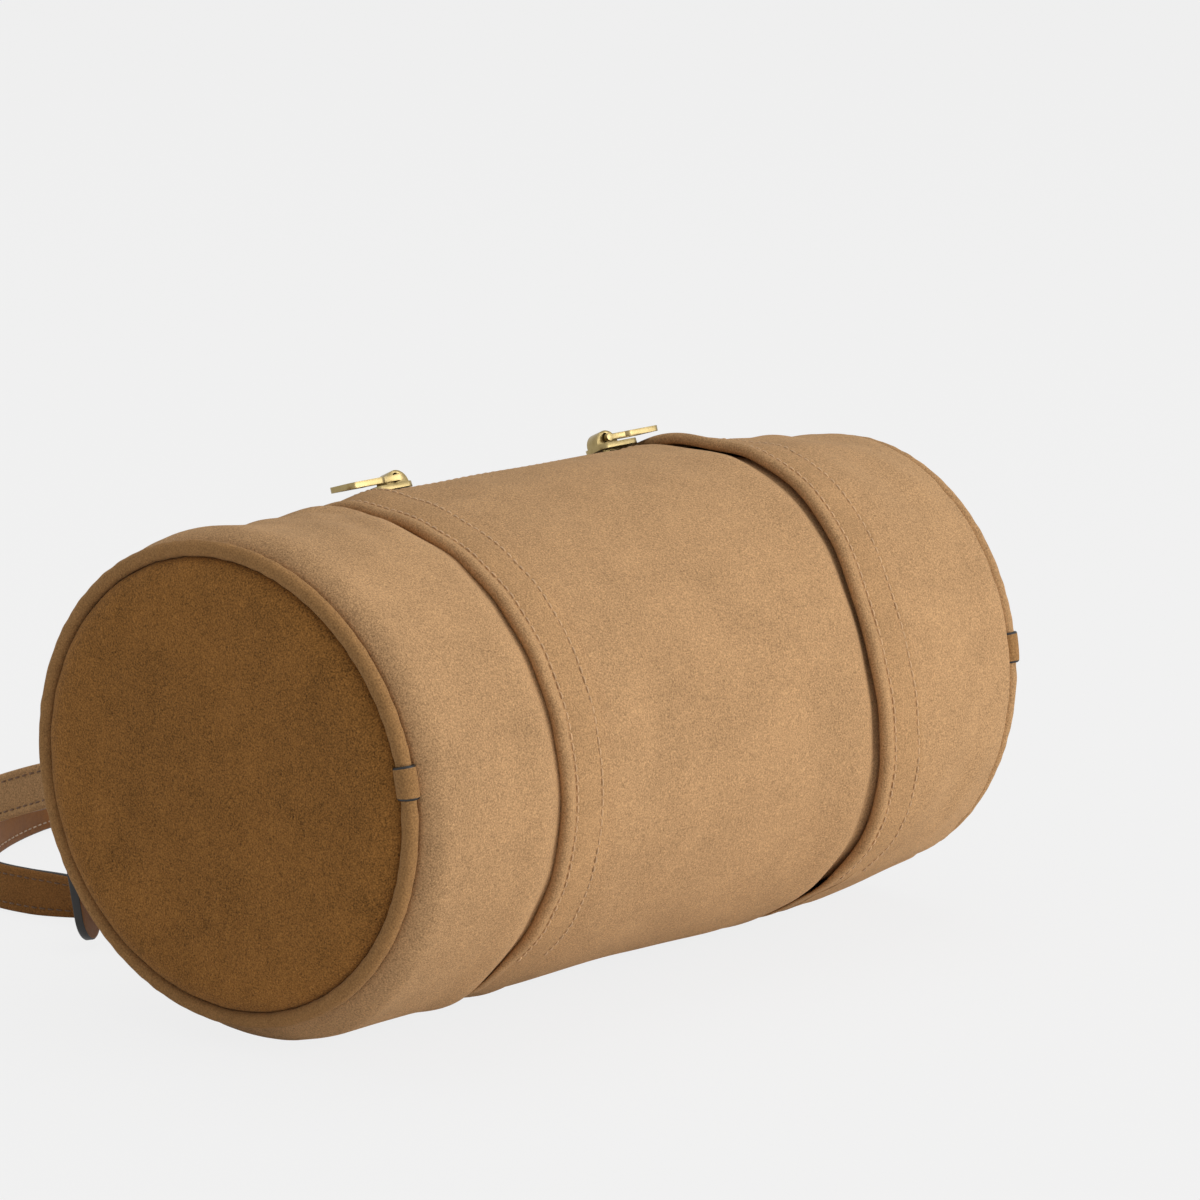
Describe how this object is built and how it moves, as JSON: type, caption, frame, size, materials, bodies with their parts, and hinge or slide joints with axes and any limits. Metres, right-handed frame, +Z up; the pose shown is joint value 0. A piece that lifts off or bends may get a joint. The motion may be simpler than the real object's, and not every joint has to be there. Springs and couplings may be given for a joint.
{
  "type": "barrel bag",
  "caption": "Small suede barrel bag lying on its side, with round piped ends, raised bands, a zip along its length and carrying handles laid out behind it.",
  "frame": {"origin": "on the floor under the middle of the barrel, between the flats that the bands rest on", "axes": "+X along the barrel from the end seen first to the other, +Y towards the handles, +Z up"},
  "size_m": [0.246, 0.3046, 0.1371],
  "materials": {
    "suede": "matte napped suede, tan brown",
    "smooth_leather": "smooth satin leather, brown",
    "brass": "polished pale gold",
    "zip_tape": "woven tape, brown",
    "lining_cloth": "woven cotton, beige",
    "board": "fibre stiffener"
  },
  "bodies": {
    "bag": {"near_panel": "suede", "centre_panel": "suede", "far_panel": "suede", "near_end_panel": "suede", "far_end_panel": "suede", "near_end_board": "board", "far_end_board": "board", "near_piping": "suede", "far_piping": "suede", "near_piping_wrap": "suede", "far_piping_wrap": "suede", "near_band": "suede", "far_band": "suede", "lining": "lining_cloth", "zip_tape_front": "zip_tape", "zip_tape_back": "zip_tape", "zip_teeth_front": "brass", "zip_teeth_back": "brass", "zip_stop_near": "brass", "zip_stop_far": "brass", "upper_near_chape": "suede", "upper_far_chape": "suede", "lower_near_chape": "suede", "lower_far_chape": "suede"},
    "near_slider": {"near_slider": "brass"},
    "far_slider": {"far_slider": "brass"},
    "near_puller": {"near_puller": "brass"},
    "far_puller": {"far_puller": "brass"},
    "upper_handle": {"upper_near_ring": "brass", "upper_far_ring": "brass", "upper_near_root_tab": "suede", "upper_far_root_tab": "suede", "upper_handle_strap": "suede", "upper_handle_lining": "smooth_leather"},
    "lower_handle": {"lower_near_ring": "brass", "lower_far_ring": "brass", "lower_near_root_tab": "suede", "lower_far_root_tab": "suede", "lower_handle_strap": "suede", "lower_handle_lining": "smooth_leather"},
    "hang_tag": {"hang_tag": "suede", "tag_lace": "smooth_leather"}
  },
  "joints": [
    {"name": "near_slider_travel", "type": "slide", "parent": "bag", "child": "near_slider", "axis": [1, 0, 0], "range_m": [0, 0.034]},
    {"name": "far_slider_travel", "type": "slide", "parent": "bag", "child": "far_slider", "axis": [-1, 0, 0], "range_m": [0, 0.034]},
    {"name": "near_puller_swing", "type": "hinge", "parent": "near_slider", "child": "near_puller", "pos_m": [-0.0389, 0.02991, 0.13325], "axis": [0, 0.9543, -0.299], "range_deg": [0, 100]},
    {"name": "far_puller_swing", "type": "hinge", "parent": "far_slider", "child": "far_puller", "pos_m": [0.0389, 0.02991, 0.13325], "axis": [0, -0.9543, 0.299], "range_deg": [0, 100]},
    {"name": "upper_handle_lift", "type": "hinge", "parent": "bag", "child": "upper_handle", "pos_m": [0, 0.06903, 0.0551], "axis": [1, 0, 0], "range_deg": [0, 80]},
    {"name": "lower_handle_lift", "type": "hinge", "parent": "bag", "child": "lower_handle", "pos_m": [0, 0.04887, 0.01684], "axis": [1, 0, 0], "range_deg": [0, 32]},
    {"name": "hang_tag_swing", "type": "hinge", "parent": "upper_handle", "child": "hang_tag", "pos_m": [-0.06734, 0.09744, 0.03839], "axis": [0.5, 0.8308, -0.2445], "range_deg": [0, 35]}
  ],
  "couplings": [
    {"joint": "lower_handle_lift", "follows": "upper_handle_lift", "ratio": 0.4}
  ]
}
